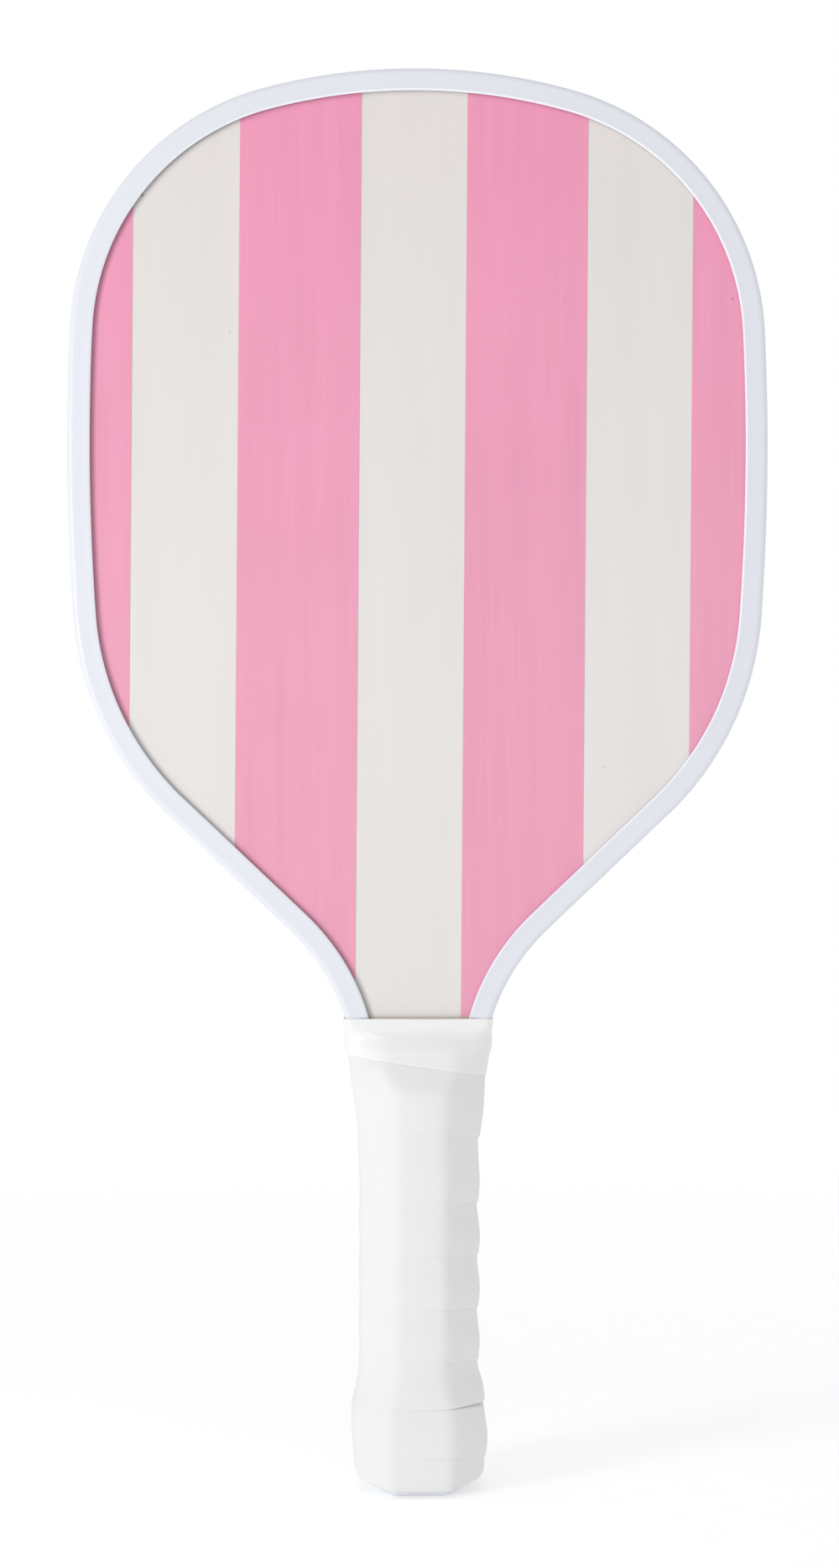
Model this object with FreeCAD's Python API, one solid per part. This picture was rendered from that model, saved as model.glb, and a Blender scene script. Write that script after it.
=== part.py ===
"""Pickleball paddle: a seven-ply wooden blade with a striped print, an edge guard and a wrapped handle.

Frame, in millimetres: +Z runs from the butt to the head, the front face looks along -Y, and X is
the width. The origin is the centre of the butt cap's bottom face, where the paddle stands.

Every piece is a separate solid, written to parts/NODE.step.
"""

import FreeCAD, Part
import math
import os
from FreeCAD import Vector

# ---------------------------------------------------------------- driving dimensions

TOTAL_LENGTH = 402.0

# The outline runs from the middle of the crown down the right-hand side as tangent arcs, each a
# radius and a turn in degrees. It turns inwards as far as the hip, runs straight, and turns back.
CROWN_ARC = (167.0, 15.3)
SHOULDER_ARC = (74.0, 72.0)
SIDE_ARC = (688.0, 6.8)
HIP_ARC = (85.4, 42.4)
THROAT_ARC = (59.0, -33.4)
NECK_ARC = (183.0, -13.1)

# Blade
PLY_THICKNESS = 1.25
COAT_THICKNESS = 0.1
INK_THICKNESS = 0.05
PRINT_BOTTOM = 130.1
CREAM_STRIPE_WIDTH = 30.0
PINK_STRIPE_WIDTH = 34.3
STRIPE_SHIFT = -1.9  # the print sits a little to one side of the blade's centre line
STRIPE_TILT = 0.43  # degrees that the print leans, clockwise from the front
STRIPE_PIVOT_HEIGHT = 290.0

# Edge guard
GUARD_WIDTH = 6.45  # of each lip, seen from the front
GUARD_WALL = 1.5
GUARD_LIP = 1.2
GUARD_OUTER_RADIUS = 1.8
GUARD_LIP_RADIUS = 1.0
GUARD_END_HEIGHT = 121.0
BOND_TAPE_THICKNESS = 0.3
BOND_TAPE_WIDTH = 8.4
SLIP = 0.03  # clearance between the guard's channel and what it holds

# Handle
HANDLE_HALF_WIDTH = 14.8  # of the bare wooden octagon, across its flats
TANG_BOTTOM = 2.6
SCALE_TOP = 130.0  # where a scale's ramp meets the blade
SCALE_RAMP_START = 112.8  # where the ramp leaves the scale's flat face
SCALE_TOE = 0.6  # height of the ramp's blunt toe above the blade
SCALE_NECK_HALF_WIDTH = 9.5  # of the ramp where it runs between the guard's two ends

# Butt cap
CAP_HALF_WIDTH = 16.9
CAP_FLOOR = 2.4
CAP_SHOULDER_HEIGHT = 20.0
CAP_HEIGHT = 31.0
CAP_RIM_WALL = 0.6
CAP_CHAMFER_IN = 2.4
CAP_CHAMFER_UP = 2.2
CAP_CLEARANCE = 0.1
NAIL_HEIGHT = 12.0
NAIL_SHANK_RADIUS = 0.5
NAIL_LENGTH = 14.0
NAIL_HEAD_RADIUS = 1.5
NAIL_HEAD_THICKNESS = 0.5

# Grip
WRAP_THICKNESS = 1.6
WRAP_STEP = 0.8  # how far each turn's lower edge stands proud of the turn below
WRAP_BOTTOM = 1.7
WRAP_TOP = 131.5
WRAP_SKIVE_START = 124.0
WRAP_SKIVED_THICKNESS = 0.3
WRAP_SEAMS = (-4.0, 11.2, 24.5, 37.6, 52.5, 67.4, 82.3, 101.7, 121.1)  # seam heights at the front
WRAP_SWELL = 1.6  # how far the seams bow upwards at the right-hand side
WRAP_ROWS = 3  # rows of faces in each turn
WRAP_RIDGE = 1.3  # half the width of the flat that blunts each ridge of the octagon
STEP_FADE_START = 104.0  # above this the seam is stretched smooth
STEP_FADE_HEIGHT = 8.0
STEP_LEAST = 0.02
TAPE_THICKNESS = 0.35
TAPE_TOP = 133.0
TAPE_EDGE_HEIGHT = 119.8  # of the tape's slanting lower edge, on the paddle's axis
TAPE_EDGE_SLOPE = 0.14  # fall of that edge towards +X
STAPLE_HEIGHT = 8.0
STAPLE_CROWN = 9.0
STAPLE_LEG = 7.0
STAPLE_WIRE = 0.7
STAPLE_DEPTH_IN_WRAP = 0.6  # leather under the staple's crown

# ---------------------------------------------------------------- derived dimensions

PLY_NAMES = (
    "front_face_ply",
    "front_cross_ply",
    "front_inner_ply",
    "core_ply",
    "back_inner_ply",
    "back_cross_ply",
    "back_face_ply",
)
BLANK_HALF = len(PLY_NAMES) * PLY_THICKNESS / 2
PRINT_HALF = BLANK_HALF + COAT_THICKNESS + INK_THICKNESS
CHANNEL_HALF = PRINT_HALF + SLIP
GUARD_HALF = CHANNEL_HALF + GUARD_LIP
SEAT_INSET = GUARD_WALL + BOND_TAPE_THICKNESS + SLIP
BLUNTING = 2 - math.sqrt(2)  # growth of an octagon's corner cut for each unit its faces move out
HANDLE_CORNER = HANDLE_HALF_WIDTH * BLUNTING
HANDLE_RIDGE = HANDLE_HALF_WIDTH - HANDLE_CORNER  # from the middle of a flat to its edge
GUARD_CORNER = GUARD_OUTER_RADIUS * BLUNTING
STRIPE_PITCH = CREAM_STRIPE_WIDTH + PINK_STRIPE_WIDTH

Y_AXIS = Vector(0, 1, 0)
ORIGIN = Vector(0, 0, 0)
REACH = 2 * TOTAL_LENGTH  # larger than the paddle, for cutting tools


# ---------------------------------------------------------------- outline

def tangent(heading):
    """Direction of travel along the outline; headings turn clockwise from +X, seen from the front."""
    return Vector(math.cos(heading), 0, -math.sin(heading))


def inward(heading):
    """Unit vector from the outline into the paddle."""
    return Vector(-math.sin(heading), 0, -math.cos(heading))


class Arc:
    """One arc of the outline. A hollow arc has a negative radius."""

    def __init__(self, start, heading, radius, turn):
        self.radius = math.copysign(radius, turn)
        self.heading = heading
        self.turn = math.radians(turn)
        self.centre = start + inward(heading) * self.radius

    def point(self, share, inset=0.0):
        """The point a share of the way along, moved into the paddle by the inset."""
        reach = self.radius - inset
        return self.centre - inward(self.heading + share * self.turn) * reach

    def edge(self, inset):
        return Part.Arc(*[self.point(share, inset) for share in (0.0, 0.5, 1.0)]).toShape()

    def sweep(self, face):
        return face.revolve(self.centre, Y_AXIS, math.degrees(self.turn))


class Straight:
    """The straight run between hip and throat."""

    turn = 0.0

    def __init__(self, start, heading, length):
        self.start = start
        self.heading = heading
        self.run = tangent(heading) * length

    def point(self, share, inset=0.0):
        """The point a share of the way along, moved into the paddle by the inset."""
        return self.start + self.run * share + inward(self.heading) * inset

    def edge(self, inset):
        return Part.makeLine(self.point(0.0, inset), self.point(1.0, inset))

    def sweep(self, face):
        return face.extrude(self.run)


def chain(straight_length):
    """The right-hand outline from crown to handle, as a list of Arc and Straight pieces."""
    pieces = []
    at, heading = Vector(0, 0, TOTAL_LENGTH), 0.0
    for arc in (CROWN_ARC, SHOULDER_ARC, SIDE_ARC, HIP_ARC, None, THROAT_ARC, NECK_ARC):
        piece = Arc(at, heading, *arc) if arc else Straight(at, heading, straight_length)
        pieces.append(piece)
        at, heading = piece.point(1.0), heading + piece.turn
    return pieces


def outline():
    """The chain, with its straight run as long as it takes to end at the handle's side."""
    bare = chain(0.0)
    shortfall = HANDLE_HALF_WIDTH - bare[-1].point(1.0).x
    return chain(shortfall / math.cos(bare[-2].heading))


OUTLINE = outline()


def outline_half_width(height):
    """The outline's half width at any height from the handle to the top of the throat."""
    throat, neck = OUTLINE[-2:]
    if height <= neck.point(1.0).z:
        return HANDLE_HALF_WIDTH
    arc = neck if height <= neck.point(0.0).z else throat
    return arc.centre.x - math.sqrt(arc.radius ** 2 - (height - arc.centre.z) ** 2)


def outline_slab(inset, low, high):
    """The whole outline, moved in by the inset, as a slab between two values of Y."""
    right = [piece.edge(inset) for piece in OUTLINE]
    left = [edge.mirror(ORIGIN, Vector(1, 0, 0)) for edge in right]
    end = OUTLINE[-1].point(1.0, inset)
    base = Part.makeLine(end, Vector(-end.x, 0, end.z))
    face = Part.Face(Part.Wire(right + [base] + left[::-1]))
    return face.translated(Y_AXIS * low).extrude(Y_AXIS * (high - low))


# ---------------------------------------------------------------- helpers

def polygon_face(points):
    return Part.Face(Part.makePolygon(points + points[:1]))


def rounded_face(corners):
    """A flat face from (point, radius) corners; a radius of 0 leaves the corner sharp."""
    bends = []
    for index, (corner, radius) in enumerate(corners):
        back = (corners[index - 1][0] - corner).normalize()
        ahead = (corners[(index + 1) % len(corners)][0] - corner).normalize()
        half_angle = back.getAngle(ahead) / 2
        reach = radius / math.tan(half_angle)
        bulge = (back + ahead).normalize() * (radius / math.sin(half_angle) - radius)
        bends.append((corner + back * reach, corner + bulge, corner + ahead * reach, radius))
    edges = []
    for index, (start, middle, end, radius) in enumerate(bends):
        edges.append(Part.makeLine(bends[index - 1][2], start))
        if radius:
            edges.append(Part.Arc(start, middle, end).toShape())
    return Part.Face(Part.Wire(edges))


def swept(corners):
    """A profile of (inset, y, radius) corners, run along both sides of the outline."""
    runs = []
    for piece in OUTLINE:
        placed = [(piece.point(0.0, inset) + Y_AXIS * y, radius) for inset, y, radius in corners]
        runs.append(piece.sweep(rounded_face(placed)))
    right = runs[0].multiFuse(runs[1:])
    left = right.mirror(ORIGIN, Vector(1, 0, 0))
    return right.fuse(left).removeSplitter()


def between(shape, low, high):
    """The part of a shape between two heights."""
    box = Part.makeBox(2 * REACH, 2 * REACH, high - low, Vector(-REACH, -REACH, low))
    return shape.common(box)


def above(shape, height):
    return between(shape, height, REACH)


def turned_to_back(shape):
    """A front piece, turned half round about the paddle's axis."""
    return shape.rotated(ORIGIN, Vector(0, 0, 1), 180)


def octagon(half, corner, offset, height):
    """An upright octagon's section: half width, corner cut, and an offset of all its faces."""
    half = half + offset
    flat = half - corner - offset * BLUNTING
    turns = [(half, flat), (flat, half), (-flat, half), (-half, flat)]
    points = [Vector(x, y, height) for x, y in turns]
    points += [Vector(-x, -y, height) for x, y in turns]
    return Part.makePolygon(points + points[:1])


# ---------------------------------------------------------------- blade

def ply(low, high):
    """One layer of the blade, with full-width wood below the guard's ends and a tang."""
    tang_top = OUTLINE[-1].point(1.0).z
    corner = Vector(-HANDLE_HALF_WIDTH, low, TANG_BOTTOM)
    tang = Part.makeBox(2 * HANDLE_HALF_WIDTH, high - low, tang_top - TANG_BOTTOM, corner)
    neck = between(outline_slab(0.0, low, high), TANG_BOTTOM, GUARD_END_HEIGHT)
    return outline_slab(SEAT_INSET, low, high).fuse([tang, neck]).removeSplitter()


def front_coat():
    """Cream lacquer over the front face ply."""
    return above(outline_slab(SEAT_INSET, -BLANK_HALF - COAT_THICKNESS, -BLANK_HALF), PRINT_BOTTOM)


def front_ink():
    """The four pink stripes printed on the front lacquer."""
    layer = above(outline_slab(SEAT_INSET, -PRINT_HALF, INK_THICKNESS - PRINT_HALF), PRINT_BOTTOM)
    low = Vector(-PINK_STRIPE_WIDTH / 2, -REACH / 2, -REACH)
    stripes = []
    for step in (-1.5, -0.5, 0.5, 1.5):
        stripe = Part.makeBox(PINK_STRIPE_WIDTH, REACH, 2 * REACH, low + Vector(step * STRIPE_PITCH, 0, 0))
        stripe.rotate(ORIGIN, Y_AXIS, STRIPE_TILT)
        stripe.translate(Vector(STRIPE_SHIFT, 0, STRIPE_PIVOT_HEIGHT))
        stripes.append(layer.common(stripe))
    return Part.makeCompound(stripes)


# ---------------------------------------------------------------- edge guard

def edge_guard():
    """The moulded channel round the blade, ending inside the grip."""
    corners = [
        (0, -GUARD_HALF, GUARD_OUTER_RADIUS),
        (GUARD_WIDTH, -GUARD_HALF, GUARD_LIP_RADIUS),
        (GUARD_WIDTH, -CHANNEL_HALF, 0),
        (GUARD_WALL, -CHANNEL_HALF, 0),
        (GUARD_WALL, CHANNEL_HALF, 0),
        (GUARD_WIDTH, CHANNEL_HALF, 0),
        (GUARD_WIDTH, GUARD_HALF, GUARD_LIP_RADIUS),
        (0, GUARD_HALF, GUARD_OUTER_RADIUS),
    ]
    return above(swept(corners), GUARD_END_HEIGHT)


def bond_tape():
    """Adhesive tape between the guard's wall and the plies' edges."""
    half = BOND_TAPE_WIDTH / 2
    outer = GUARD_WALL
    inner = GUARD_WALL + BOND_TAPE_THICKNESS
    corners = [(outer, -half, 0), (inner, -half, 0), (inner, half, 0), (outer, half, 0)]
    return above(swept(corners), GUARD_END_HEIGHT)


def guard_envelope():
    """The guard with its channel filled, as the grip meets it."""
    corners = [
        (0, -GUARD_HALF, GUARD_OUTER_RADIUS),
        (GUARD_WIDTH, -GUARD_HALF, GUARD_LIP_RADIUS),
        (GUARD_WIDTH, GUARD_HALF, GUARD_LIP_RADIUS),
        (0, GUARD_HALF, GUARD_OUTER_RADIUS),
    ]
    return above(swept(corners), GUARD_END_HEIGHT)


# ---------------------------------------------------------------- handle

def front_scale():
    """Front half of the wooden handle, from the face ply out, with a ramp at its top."""
    section = Part.Face(octagon(HANDLE_HALF_WIDTH, HANDLE_CORNER, 0, TANG_BOTTOM))
    prism = section.extrude(Vector(0, 0, SCALE_TOP - TANG_BOTTOM))
    side = [
        (BLANK_HALF, TANG_BOTTOM),
        (HANDLE_HALF_WIDTH, TANG_BOTTOM),
        (HANDLE_HALF_WIDTH, SCALE_RAMP_START),
        (BLANK_HALF + SCALE_TOE, SCALE_TOP),
        (BLANK_HALF, SCALE_TOP),
    ]
    points = [Vector(-HANDLE_HALF_WIDTH, -depth, height) for depth, height in side]
    scale = prism.common(polygon_face(points).extrude(Vector(2 * HANDLE_HALF_WIDTH, 0, 0)))
    low = Vector(SCALE_NECK_HALF_WIDTH, -REACH, GUARD_END_HEIGHT)
    beside_guard = Part.makeBox(REACH, 2 * REACH, REACH, low)
    return scale.cut([beside_guard, turned_to_back(beside_guard)])


def cap_body():
    """The butt cap's outside, filled."""
    rings = [
        octagon(CAP_HALF_WIDTH, HANDLE_CORNER, -CAP_CHAMFER_IN, 0),
        octagon(CAP_HALF_WIDTH, HANDLE_CORNER, 0, CAP_CHAMFER_UP),
        octagon(CAP_HALF_WIDTH, HANDLE_CORNER, 0, CAP_SHOULDER_HEIGHT),
        octagon(HANDLE_HALF_WIDTH, HANDLE_CORNER, CAP_CLEARANCE + CAP_RIM_WALL, CAP_HEIGHT),
    ]
    return Part.makeLoft(rings, True, True)


def butt_cap():
    """A cup over the handle's end."""
    section = Part.Face(octagon(HANDLE_HALF_WIDTH, HANDLE_CORNER, CAP_CLEARANCE, CAP_FLOOR))
    return cap_body().cut(section.extrude(Vector(0, 0, CAP_HEIGHT)))


def cap_nail(side):
    """A nail through the cap's left or right face into the edge of the core ply."""
    face = Vector(side * CAP_HALF_WIDTH, 0, NAIL_HEIGHT)
    out = Vector(side, 0, 0)
    shank = Part.makeCylinder(NAIL_SHANK_RADIUS, NAIL_LENGTH, face - out * NAIL_LENGTH, out)
    head = Part.makeCylinder(NAIL_HEAD_RADIUS, NAIL_HEAD_THICKNESS, face, out)
    return shank.fuse(head).removeSplitter()


def grip_staple():
    """A staple at the back that holds the start of the wrap."""
    crown_y = CAP_HALF_WIDTH + STAPLE_DEPTH_IN_WRAP
    low = Vector(-STAPLE_CROWN / 2, crown_y, STAPLE_HEIGHT - STAPLE_WIRE / 2)
    staple = Part.makeBox(STAPLE_CROWN, STAPLE_WIRE, STAPLE_WIRE, low)
    for x in (low.x, -low.x - STAPLE_WIRE):
        leg = Part.makeBox(STAPLE_WIRE, STAPLE_LEG, STAPLE_WIRE, Vector(x, crown_y - STAPLE_LEG, low.z))
        staple = staple.fuse(leg)
    return staple.removeSplitter()


# ---------------------------------------------------------------- grip

def along(height, marks):
    """Straight-line interpolation through (height, value) marks, held level past both ends."""
    if height <= marks[0][0]:
        return marks[0][1]
    for (low, start), (high, end) in zip(marks, marks[1:]):
        if height <= high:
            return start + (end - start) * (height - low) / (high - low)
    return marks[-1][1]


def seat_half_width(height):
    """Half width of what the wrap lies on."""
    rim = HANDLE_HALF_WIDTH + CAP_CLEARANCE + CAP_RIM_WALL
    cap = [(CAP_SHOULDER_HEIGHT, CAP_HALF_WIDTH), (CAP_HEIGHT, rim), (CAP_HEIGHT + 4, HANDLE_HALF_WIDTH)]
    return max(along(height, cap), outline_half_width(height))


def seat_half_depth(height):
    """Half depth, front to back, of what the wrap lies on."""
    if height < (CAP_HEIGHT + SCALE_RAMP_START) / 2:
        return seat_half_width(height)
    return along(height, [(SCALE_RAMP_START, HANDLE_HALF_WIDTH), (SCALE_TOP, GUARD_HALF)])


def seat_ridges(height):
    """Half widths of the seat's front flat and side flat, out to where the slanting flats start."""
    if height < (CAP_HEIGHT + SCALE_RAMP_START) / 2:
        flat = seat_half_width(height) - HANDLE_CORNER
        return flat, flat
    guard_flat_x = seat_half_width(height) - GUARD_CORNER
    guard_flat_y = GUARD_HALF - GUARD_CORNER
    front = [
        (SCALE_RAMP_START, HANDLE_RIDGE),
        (GUARD_END_HEIGHT, SCALE_NECK_HALF_WIDTH),
        (WRAP_SKIVE_START, SCALE_NECK_HALF_WIDTH),
        (SCALE_TOP, guard_flat_x),
    ]
    side = [(SCALE_RAMP_START, HANDLE_RIDGE), (GUARD_END_HEIGHT, guard_flat_y)]
    return along(height, front), along(height, side)


def grip_ring(height, lift):
    """Points round the wrap's outside at one height, clockwise from above, from the back's middle."""
    offset = WRAP_THICKNESS + lift
    half_width = seat_half_width(height) + offset
    half_depth = seat_half_depth(height) + offset
    flat_x, flat_y = [flat + offset * (1 - BLUNTING) for flat in seat_ridges(height)]
    right = [(flat_x, half_depth), (half_width, flat_y), (half_width, -flat_y), (flat_x, -half_depth)]
    turns = [Vector(x, y, height) for x, y in right]
    turns += [Vector(-x, -y, height) for x, y in right]
    ring = [Vector(0, half_depth, height)]
    for index, turn in enumerate(turns):
        for other in (turns[index - 1], turns[(index + 1) % len(turns)]):
            side = other - turn
            ring.append(turn + side * min(WRAP_RIDGE / side.Length, 0.3))
    return ring


def ring_shares():
    """How far round the handle each point of a ring lies, as a share of the whole way."""
    ring = grip_ring(SCALE_RAMP_START / 2, 0)
    lengths = [start.distanceToPoint(end) for start, end in zip(ring, ring[1:] + ring[:1])]
    return [sum(lengths[:index]) / sum(lengths) for index in range(len(ring) + 1)]


SHARES = ring_shares()


def seam_height(turn):
    """Height of the wrap's seam after a number of turns; a whole number is the front's middle."""
    low = min(max(math.floor(turn), 0), len(WRAP_SEAMS) - 2)
    return WRAP_SEAMS[low] + (WRAP_SEAMS[low + 1] - WRAP_SEAMS[low]) * (turn - low)


def wound_point(turn, row, index):
    """A point on a turn of the wrap: row 0 is its proud lower edge, the last row its upper edge."""
    share = row / WRAP_ROWS
    height = seam_height(turn + share + SHARES[index] - 0.5)
    height += WRAP_SWELL * max(math.sin(2 * math.pi * SHARES[index]), 0)
    fade = min(max(1 - (height - STEP_FADE_START) / STEP_FADE_HEIGHT, STEP_LEAST / WRAP_STEP), 1)
    ring = grip_ring(min(height, SCALE_RAMP_START), WRAP_STEP * (1 - share) * fade)
    point = ring[index % len(ring)]
    return Vector(point.x, point.y, height)


def ruled_strip(lower, upper):
    """Faces between two rows of points."""
    faces = []
    for index in range(len(lower) - 1):
        bottom = Part.makeLine(lower[index], lower[index + 1])
        top = Part.makeLine(upper[index], upper[index + 1])
        faces.append(Part.makeRuledSurface(bottom, top))
    return faces


def fan(tip, row, seam):
    """Triangles from a point on the axis to a row, and the flat face that closes the row's ends."""
    faces = [polygon_face([tip, start, end]) for start, end in zip(row, row[1:])]
    return faces + [polygon_face([tip] + seam)]


def wound_tube():
    """The overlapping turns as one solid, running past the handle at both ends."""
    turns = range(len(WRAP_SEAMS) - 1)
    around = range(len(SHARES))
    up = range(WRAP_ROWS + 1)
    rows = [[[wound_point(turn, row, index) for index in around] for row in up] for turn in turns]
    faces = []
    for turn in turns:
        for row in range(WRAP_ROWS):
            faces += ruled_strip(rows[turn][row], rows[turn][row + 1])
        if turn:
            faces += ruled_strip(rows[turn - 1][-1], rows[turn][0])
    first, last = rows[0], rows[-1]
    foot = Vector(0, 0, first[0][-1].z + WRAP_STEP)
    faces += fan(foot, first[0], [row[0] for row in first] + [first[0][-1]])
    tip = Vector(0, 0, last[-1][-1].z)
    faces += fan(tip, last[-1], [last[-1][0]] + [row[-1] for row in last])
    shell = Part.makeShell(faces)
    shell.sewShape()
    solid = Part.makeSolid(Part.Shell(shell.Faces))
    return solid if solid.Volume > 0 else solid.reversed()


def grip_sleeve(marks):
    """A loft through grip rings at (height, lift) marks."""
    rings = [grip_ring(height, lift) for height, lift in marks]
    return Part.makeLoft([Part.makePolygon(ring + ring[:1]) for ring in rings], True, True)


def grip_wrap(seat):
    """The strap as wound, with its top end skived thin under the tape."""
    skived = WRAP_SKIVED_THICKNESS - WRAP_THICKNESS
    neck = [
        (SCALE_RAMP_START, 0),
        (GUARD_END_HEIGHT, 0),
        (WRAP_SKIVE_START, 0),
        (SCALE_TOP, skived * 0.8),
        (WRAP_TOP, skived),
    ]
    wound = between(wound_tube(), WRAP_BOTTOM, SCALE_RAMP_START)
    return wound.fuse(grip_sleeve(neck)).cut(seat)


def finishing_tape(seat, wrap):
    """The band round the top of the wrap, its lower edge cut at a slant."""
    skived = WRAP_SKIVED_THICKNESS - WRAP_THICKNESS
    marks = [
        (SCALE_RAMP_START, TAPE_THICKNESS),
        (GUARD_END_HEIGHT, TAPE_THICKNESS),
        (WRAP_SKIVE_START, TAPE_THICKNESS),
        (SCALE_TOP, skived * 0.8 + TAPE_THICKNESS),
        (WRAP_TOP, skived + TAPE_THICKNESS),
        (TAPE_TOP, TAPE_THICKNESS - WRAP_THICKNESS),
    ]
    rise = TAPE_EDGE_SLOPE * REACH
    side = [
        Vector(-REACH, -REACH, TAPE_EDGE_HEIGHT + rise),
        Vector(REACH, -REACH, TAPE_EDGE_HEIGHT - rise),
        Vector(REACH, -REACH, REACH),
        Vector(-REACH, -REACH, REACH),
    ]
    above_edge = polygon_face(side).extrude(Y_AXIS * 2 * REACH)
    return grip_sleeve(marks).common(above_edge).cut(seat).cut(wrap)


# ---------------------------------------------------------------- assembly

def pieces():
    """Every node's shape by name."""
    parts = {}
    for index, name in enumerate(PLY_NAMES):
        low = index * PLY_THICKNESS - BLANK_HALF
        parts[name] = ply(low, low + PLY_THICKNESS)
    parts["front_coat"] = front_coat()
    parts["front_stripes"] = front_ink()
    parts["back_coat"] = turned_to_back(parts["front_coat"])
    parts["back_stripes"] = turned_to_back(parts["front_stripes"])
    parts["edge_guard"] = edge_guard()
    parts["guard_bond_tape"] = bond_tape()
    parts["front_scale"] = front_scale()
    staple = grip_staple()
    nails = {"right_cap_nail": cap_nail(1), "left_cap_nail": cap_nail(-1)}
    fasteners = [staple] + list(nails.values())
    parts["back_scale"] = turned_to_back(parts["front_scale"]).cut(staple)
    parts["core_ply"] = parts["core_ply"].cut(fasteners)
    parts["butt_cap"] = butt_cap().cut(fasteners)
    parts["grip_staple"] = staple
    parts.update(nails)
    blade = ply(-BLANK_HALF, BLANK_HALF)
    coats = [parts[name] for name in ("front_coat", "front_stripes", "back_coat", "back_stripes")]
    scales = [front_scale(), turned_to_back(front_scale())]
    seat = [blade, guard_envelope(), cap_body()] + scales + coats + fasteners
    parts["grip_wrap"] = grip_wrap(seat)
    parts["finishing_tape"] = finishing_tape(seat, parts["grip_wrap"])
    return parts


def main():
    os.makedirs("parts", exist_ok=True)
    for name, shape in pieces().items():
        solids = shape.Solids
        exported = solids[0] if len(solids) == 1 else Part.makeCompound(solids)
        exported.exportStep(f"parts/{name}.step")
        volume = sum(solid.Volume for solid in solids)
        print(f"{name}: {len(solids)} solid(s), {volume:.1f} mm3, valid {exported.isValid()}")


main()
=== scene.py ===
"""Looks of the pickleball paddle: guard, striped faces, wound grip, finishing tape and butt cap.

Lengths in this file are millimetres in the CAD frame (+Z from butt to head, front towards -Y) unless
a comment says otherwise; mesh_piece() and MM turn them into metres. Scales of noise are per metre.
"""

import math

import bmesh
import bpy
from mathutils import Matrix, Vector, noise


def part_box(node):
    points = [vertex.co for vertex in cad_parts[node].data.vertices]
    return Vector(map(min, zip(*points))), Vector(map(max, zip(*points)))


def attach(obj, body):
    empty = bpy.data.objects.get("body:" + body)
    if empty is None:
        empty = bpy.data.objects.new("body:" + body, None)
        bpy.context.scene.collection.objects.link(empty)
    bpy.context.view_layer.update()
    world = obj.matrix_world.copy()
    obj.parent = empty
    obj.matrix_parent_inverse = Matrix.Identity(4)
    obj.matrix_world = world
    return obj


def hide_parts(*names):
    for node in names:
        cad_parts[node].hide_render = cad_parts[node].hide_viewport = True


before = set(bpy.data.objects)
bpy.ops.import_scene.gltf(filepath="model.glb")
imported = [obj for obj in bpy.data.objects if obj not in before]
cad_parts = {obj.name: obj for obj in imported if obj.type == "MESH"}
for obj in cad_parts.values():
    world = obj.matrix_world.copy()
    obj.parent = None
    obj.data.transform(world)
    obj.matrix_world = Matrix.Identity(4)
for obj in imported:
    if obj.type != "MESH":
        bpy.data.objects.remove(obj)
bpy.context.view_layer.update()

MM = 0.001


def cad_box(node):
    """A CAD node's lowest and highest corners, in millimetres."""
    low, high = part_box(node)
    return low / MM, high / MM


# ---------------------------------------------------------------- dimensions

GUARD_LOW, GUARD_HIGH = cad_box("edge_guard")
PRINT_LOW, _ = cad_box("front_stripes")
_, CAP_HIGH = cad_box("butt_cap")
_, SCALE_HIGH = cad_box("front_scale")

# The guard's outline from the crown down the right-hand side: tangent arcs of (radius, turn in degrees).
CROWN_ARC = (167.0, 15.3)
SHOULDER_ARC = (74.0, 72.0)
SIDE_ARC = (688.0, 6.8)
HIP_ARC = (85.4, 42.4)
THROAT_ARC = (59.0, -33.4)
NECK_ARC = (183.0, -13.1)

GUARD_WIDTH = 6.45
GUARD_WALL = 1.5
GUARD_OUTER_RADIUS = 1.8
GUARD_LIP_RADIUS = 0.6
GUARD_LIP_RISE = 0.25  # how much prouder the lip's inner edge is than its outer edge
GUARD_UNDERCUT = 0.3  # how far the lip's inner edge hangs over the print
GUARD_HALF = GUARD_HIGH.y
GUARD_END = GUARD_LOW.z
GUARD_THINNING = 0.5  # share of the guard's depth lost at its hidden ends, under the tape
GUARD_THINNED_UP_TO = 128.0
PRINT_GAP = 0.03
CHANNEL_HALF = -PRINT_LOW.y + PRINT_GAP
BLADE_MIDDLE = 265.0  # height of the point that the guard's inner edge is taken to face
OUTLINE_STEP = 2.0  # longest run between two stations of the guard's sweep

HANDLE_HALF = SCALE_HIGH.x
BLUNTING = 2 - math.sqrt(2)  # an even octagon's corner cut, as a share of its half width
HANDLE_CORNER = HANDLE_HALF * BLUNTING
HANDLE_RIDGE = HANDLE_HALF - HANDLE_CORNER
GUARD_CORNER = GUARD_OUTER_RADIUS * BLUNTING
CAP_HALF = CAP_HIGH.x
FLARE_START = 21.0  # the grip narrows from the cap's width to the handle's between these heights
FLARE_END = 35.0
FOOT_TUCK = 4.5
FOOT_HEIGHT = 6.0

# The front of the handle falls back to the blade in a straight ramp that starts in a soft bend.
RAMP_START = 112.8
RAMP_SLOPE = 0.555
RAMP_BEND = 1.5
SCALE_NECK_HALF = 9.5  # half width of the scales' front flat where they pass between the guard's ends
NECK_START = 127.0  # the ring's corners move out to the guard's between these heights
NECK_END = 131.0
GRIP_RADIUS = 1.9
GRIP_MIDDLE = 70.0

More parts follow.
